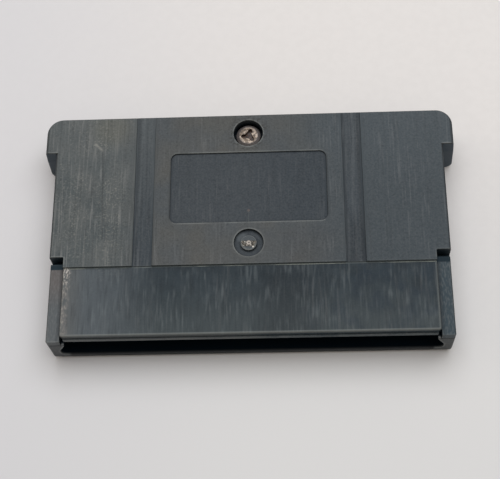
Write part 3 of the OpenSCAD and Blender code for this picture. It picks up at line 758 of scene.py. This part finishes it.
def fired_ceramic():
    """Tan fired ceramic of the capacitors: fine-grained, with a slight fired sheen."""
    material, tree, place = new_finish("fired_ceramic")
    fired = flecks(tree, place, 0.15, 0.35, 0.65, 3.3, 3.0)
    surface = {
        "Base Color": laid_over(tree, "#a07e5a", "#86684a", fired),
        "Roughness": 0.4,
        "IOR": 1.6,
        "Normal": roughened(tree, fired, 0.01, 0.3, 0.04),
    }
    return finished(material, surface)


def resistor_glaze():
    """Black glass glaze over a resistor's white alumina base."""
    material, tree, place = new_finish("resistor_glaze")
    specks = flecks(tree, place, 0.15, 0.4, 0.6, 9.9)
    glazed = beyond(tree, place, "Z", BOARD_TOP + 0.3, 0.08)
    surface = {
        "Base Color": laid_over(tree, "#cfcbc0", laid_over(tree, "#141518", "#202125", specks), glazed),
        "Roughness": 0.2,
        "IOR": 1.52,
        "Normal": roughened(tree, specks, 0.01, 0.2, 0.04),
    }
    return finished(material, surface)


def matt_card():
    """Matt white card of the floor: pale grey, with painted shade that darkens it a little toward the viewer
    and at its left.
    """
    material, tree, place = new_finish("matt_card")
    colour = layered(
        tree,
        "#dcdad9",
        ("#dad8d7", flecks(tree, place, 1.2, 0.35, 0.65, 4.0)),
        ("#d6d7d8", beyond(tree, place, "Y", -10.0, -60.0)),
        ("#cecfd4", beyond(tree, place, "X", -20.0, -60.0), 0.7),
    )
    return finished(material, {"Base Color": colour, "Roughness": 0.9, "Specular IOR Level": 0.2})


# Extra pieces


def placed(name, thing):
    """A mesh, lamp or camera as a named object in the scene."""
    made = bpy.data.objects.new(name, thing)
    bpy.context.scene.collection.objects.link(made)
    return made


def new_piece(name, shape, material):
    """A finished shape as a piece of the cartridge, smooth and facing outward."""
    bmesh.ops.recalc_face_normals(shape, faces=shape.faces)
    mesh = bpy.data.meshes.new(name)
    shape.to_mesh(mesh)
    shape.free()
    mesh.materials.append(material)
    for polygon in mesh.polygons:
        polygon.use_smooth = True
    piece = placed(name, mesh)
    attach(piece, "root")


def joined(shape, ring_a, ring_b):
    """Faces that join two closed rings of as many corners each."""
    for k in range(len(ring_a)):
        after = (k + 1) % len(ring_a)
        shape.faces.new([ring_a[k], ring_b[k], ring_b[after], ring_a[after]])


def screw_thread(material):
    """Thread-forming ridge round the screw's shank, which fades in and out at its ends."""
    foot_r, root_r, crest_r, half_foot = 0.73, 0.76, 0.98, 0.14
    pitch, turns, steps, fade_steps = 0.7, 3.6, 40, 12
    bottom = SCREW_LOW.z + 0.45
    ridge = bmesh.new()
    last = None
    count = int(turns * steps)
    for i in range(count + 1):
        angle = 2 * math.pi * i / steps
        fade = min(1, i / fade_steps, (count - i) / fade_steps)
        z = bottom + pitch * i / steps
        section = [(foot_r, -half_foot), (root_r + (crest_r - root_r) * fade, 0), (foot_r, half_foot)]
        corners = [
            ridge.verts.new(Vector((r * math.cos(angle), SCREW_Y + r * math.sin(angle), z + rise)) * MM)
            for r, rise in section
        ]
        if last:
            joined(ridge, last, corners)
        else:
            ridge.faces.new(reversed(corners))
        last = corners
    ridge.faces.new(last)
    new_piece("screw_thread", ridge, material)


def scar_height(x, y, fade):
    """Height in mm of the torn plastic over the pad, at a place from the gate's middle, faded at the rim."""
    skin, calm_relief, torn_relief, lumps_per_mm = 0.035, 0.012, 0.055, 3.2
    torn_edge, torn_blend = 0.45, 0.5
    stub_r, stub_blend, stub_height, rim_drop = 0.42, 0.1, 0.115, 0.01
    lowest, highest = -0.02, 0.13
    torn = noise.fractal(Vector((x, y, 4.2)) * lumps_per_mm, 0.7, 2.1, 4)
    lower_part = min(1, max(0, (torn_edge - y) / torn_blend))
    stub = min(1, max(0, (stub_r - math.hypot(x, y)) / stub_blend))
    relief = skin + (calm_relief + torn_relief * lower_part) * torn
    height = fade * relief * (1 - stub) + stub_height * stub - rim_drop * (1 - fade)
    return min(highest, max(lowest, height))


def gate_scar(material):
    """Torn plastic on the gate's pad, rough in its lower part, with the stub of the runner in its middle."""
    rings, fade_rings, steps = 26, 3, 84
    reach, sunk = PAD_R - 0.04, 0.05
    scar = bmesh.new()

    def corner(x, y, fade):
        return scar.verts.new(Vector((x, GATE_Y + y, PAD_TOP + scar_height(x, y, fade))) * MM)

    middle = corner(0, 0, 1)
    angles = [2 * math.pi * k / steps for k in range(steps)]
    last = None
    for i in range(1, rings + 1):
        radius = reach * i / rings
        fade = min(1, (rings - i) / fade_rings)
        corners = [corner(radius * math.cos(angle), radius * math.sin(angle), fade) for angle in angles]
        if last:
            joined(scar, last, corners)
        else:
            for k in range(steps):
                scar.faces.new([middle, corners[k], corners[(k + 1) % steps]])
        last = corners
    # A sunk rim underneath closes the piece
    under = [scar.verts.new(vertex.co - Vector((0, 0, sunk)) * MM) for vertex in last]
    joined(scar, last, under)
    scar.faces.new(reversed(under))
    new_piece("gate_scar", scar, material)


# Floor, light and camera


def lay_floor(material):
    """A plain card floor, out past what any view shows; its half width is in metres."""
    half = 3.0
    mesh = bpy.data.meshes.new("floor")
    corners = [(-half, -half, 0), (half, -half, 0), (half, half, 0), (-half, half, 0)]
    mesh.from_pydata(corners, [], [(0, 1, 2, 3)])
    mesh.materials.append(material)
    placed("floor", mesh)


def hang_light(name, place, width, depth, power, hex_colour):
    """A soft rectangular lamp aimed at the cartridge; place and size in mm, power in watts."""
    data = bpy.data.lights.new(name, "AREA")
    data.shape = "RECTANGLE"
    data.size, data.size_y = width * MM, depth * MM
    data.energy = power
    data.color = linear(hex_colour)[:3]
    lamp = placed(name, data)
    lamp.location = Vector(place) * MM
    lamp.rotation_mode = "QUATERNION"
    lamp.rotation_quaternion = (-Vector(place)).to_track_quat("-Z", "Y")


def light_room():
    """Even room light, with a pale backdrop where the camera, gloss and clear pieces see the room."""
    world = bpy.data.worlds.new("room")
    bpy.context.scene.world = world
    world.use_nodes = True
    tree = world.node_tree
    tree.nodes.clear()
    rays = add(tree, "LightPath").outputs
    seen = either(tree, rays["Is Camera Ray"], rays["Is Glossy Ray"], rays["Is Transmission Ray"])
    room = add(tree, "Background", {"Color": linear("#f4e9db"), "Strength": 0.41}).outputs[0]
    backdrop = add(tree, "Background", {"Color": linear("#dcdcde"), "Strength": 1.0}).outputs[0]
    shown = add(tree, "MixShader", {0: seen, 1: room, 2: backdrop}).outputs[0]
    add(tree, "OutputWorld", {"Surface": shown})
    hang_light("softbox", (50, 115, 410), 480, 390, 1.74, "#f9fbff")
    hang_light("window", (-420, 120, 260), 200, 200, 0.2, "#fff6ea")


def set_camera():
    """Camera solved from the cartridge's edges in the 500 x 479 picture, its places in mm."""
    eye = Vector((7.183, CONNECTOR_END - 51.075, 158.722))
    looks_at = Vector((0.198, CONNECTOR_END + 14.582, 7.9))
    up = Vector((0.02261, 0.91704, 0.39816))
    back = (eye - looks_at).normalized()
    right = up.cross(back).normalized()
    data = bpy.data.cameras.new("photo_camera")
    data.lens = 82.952
    data.sensor_width = 36
    data.clip_start = 0.01
    camera = placed("photo_camera", data)
    turn = Matrix((right, back.cross(right), back)).transposed().to_4x4()
    camera.matrix_world = Matrix.Translation(eye * MM) @ turn
    bpy.context.scene.camera = camera


# Assembly


def finish_nodes(steel):
    """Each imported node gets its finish; the small components' nodes are numbered."""
    tin, epoxy, ceramic, glaze = tin_plate(), moulded_epoxy(), fired_ceramic(), resistor_glaze()
    finishes = {
        "front_shell": worn_and_shaded_abs_front(),
        "back_shell": worn_and_shaded_abs_back(),
        "shell_screw": steel,
        "circuit_board": green_solder_mask(),
        "contact_fingers": hard_gold(),
        "rom_chip": epoxy,
        "save_chip": epoxy,
        "rom_leads": tin,
        "save_chip_leads": tin,
        "capacitor_ends": tin,
        "resistor_ends": tin,
    }
    numbered = {"capacitor": ceramic, "resistor": glaze}
    for name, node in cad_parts.items():
        finish = finishes.get(name) or numbered[name.split("_")[0]]
        node.data.materials.clear()
        node.data.materials.append(finish)


bpy.context.scene.view_settings.view_transform = "Standard"
screw_steel = aged_screw_steel()
finish_nodes(screw_steel)
screw_thread(screw_steel)
gate_scar(torn_abs())
lay_floor(matt_card())
light_room()
set_camera()
